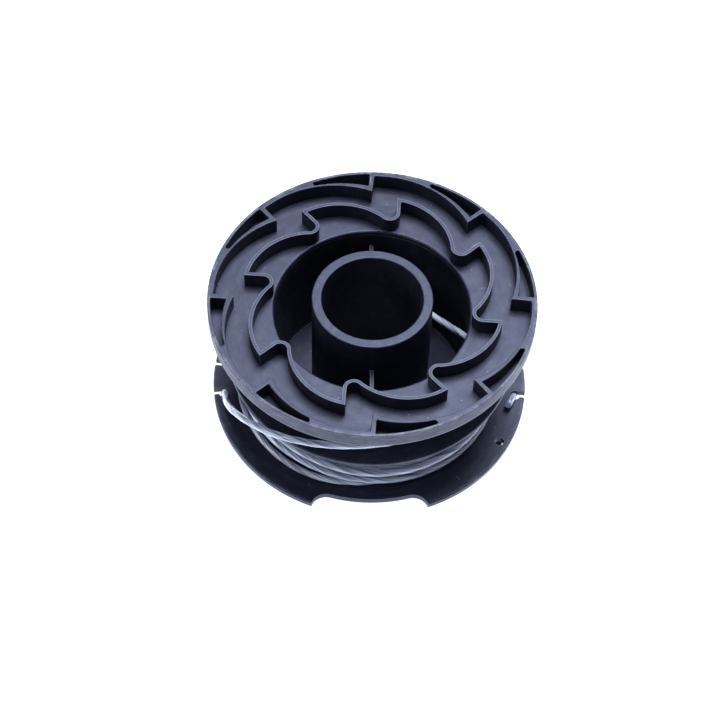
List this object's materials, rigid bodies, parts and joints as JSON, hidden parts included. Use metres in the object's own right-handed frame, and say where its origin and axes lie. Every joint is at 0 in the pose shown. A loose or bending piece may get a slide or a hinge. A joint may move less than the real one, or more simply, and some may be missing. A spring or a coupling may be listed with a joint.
{
  "type": "string trimmer spool",
  "caption": "Replacement spool for a grass trimmer: a flanged reel with ratchet walls on its end, pre-wound with twisted nylon cutting line in stacked chambers.",
  "frame": {"origin": "on the spool's axis, in the plane of the foot ring that the spool stands on", "axes": "+Z along the axis towards the ratchet end; +X and -X through the two line tabs of the lower flange; +Y and -Y through its two cut-outs"},
  "size_m": [0.07, 0.07, 0.0338],
  "materials": {
    "spool_plastic": "injection-moulded, satin, very dark blue-black",
    "nylon_line": "twisted nylon monofilament, translucent, milky white with a blue-grey cast"
  },
  "bodies": {
    "root": {"ratchet_flange": "spool_plastic", "outer_ratchet_ring": "spool_plastic", "inner_ratchet_ring": "spool_plastic", "winding_drum": "spool_plastic", "divider_flange": "spool_plastic", "lower_flange": "spool_plastic", "hub_tube": "spool_plastic", "hub_rib_front": "spool_plastic", "hub_rib_rear": "spool_plastic", "drum_floor": "spool_plastic", "foot_ring": "spool_plastic", "upper_line_winding": "nylon_line", "lower_line_winding": "nylon_line", "upper_line_tail": "nylon_line", "lower_line_tail": "nylon_line", "line_bridge": "nylon_line"}
  },
  "joints": []
}
